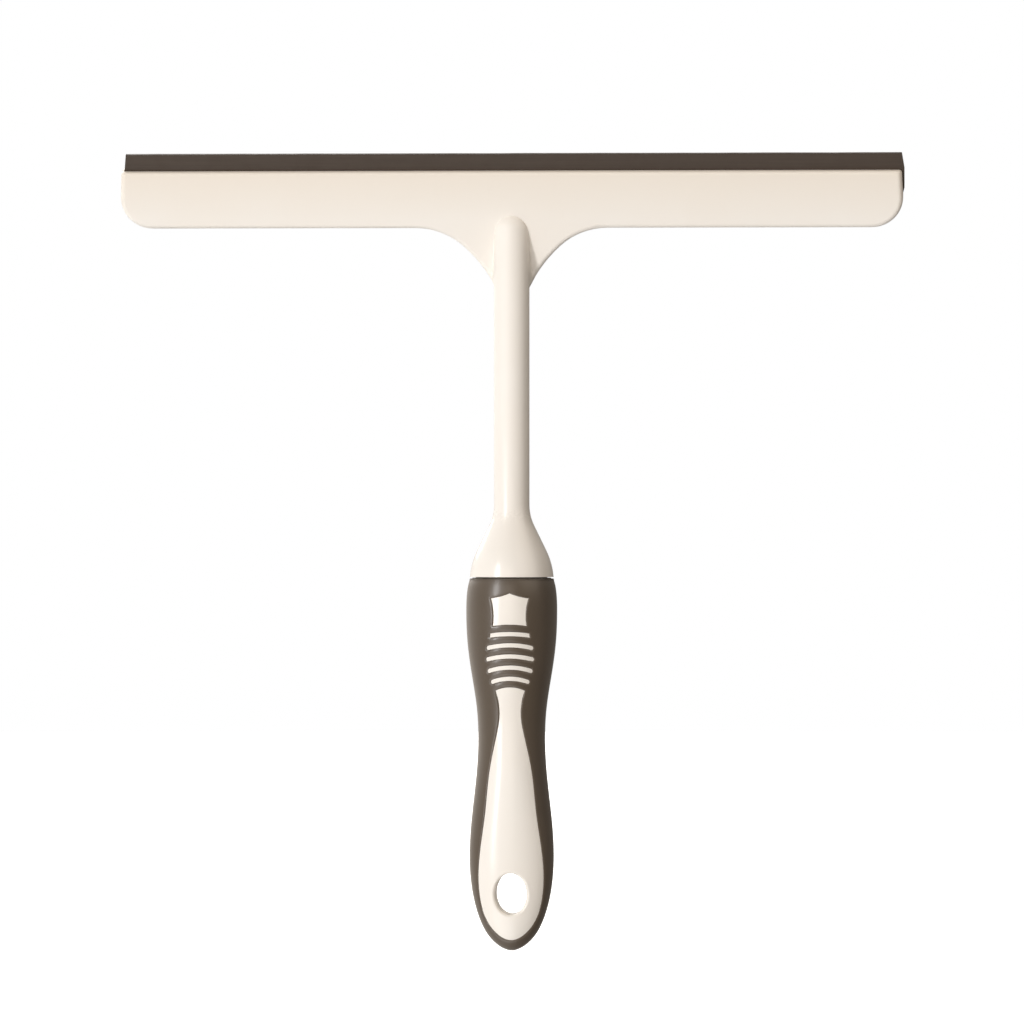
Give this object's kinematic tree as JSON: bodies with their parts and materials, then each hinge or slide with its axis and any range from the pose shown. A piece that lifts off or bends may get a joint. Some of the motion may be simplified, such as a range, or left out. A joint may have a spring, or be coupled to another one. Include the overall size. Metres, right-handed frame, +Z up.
{
  "type": "window cleaning squeegee",
  "caption": "Window squeegee: wide leaning plastic head with a slide-in rubber blade, round neck with a flared collar, and a soft two-tone handle with a hang hole.",
  "frame": {"origin": "centre of the hang hole near the handle's tip, on the handle's axis", "axes": "+Z up the handle and neck to the rubber blade, +X along the blade to the slot's open end, -Y towards the front (thumb) side"},
  "size_m": [0.3005, 0.0338, 0.3055],
  "materials": {
    "cream_plastic": "moulded, satin gloss",
    "soft_grip": "soft-touch moulded elastomer, satin",
    "blade_rubber": "extruded rubber, matte",
    "screw_steel": "zinc plated"
  },
  "bodies": {
    "head_and_handle": {"head_front_shell": "cream_plastic", "head_rear_cover": "cream_plastic", "rear_cover_screws": "screw_steel", "neck": "cream_plastic", "neck_screws": "screw_steel", "neck_pin": "screw_steel", "handle_core_front": "cream_plastic", "handle_core_rear": "cream_plastic", "core_screws": "screw_steel", "grip_sleeve": "soft_grip"},
    "blade": {"rubber_blade": "blade_rubber"}
  },
  "joints": [
    {"name": "blade_slide", "type": "slide", "parent": "head_and_handle", "child": "blade", "axis": [1, 0, 0], "range_m": [0, 0.3]}
  ]
}
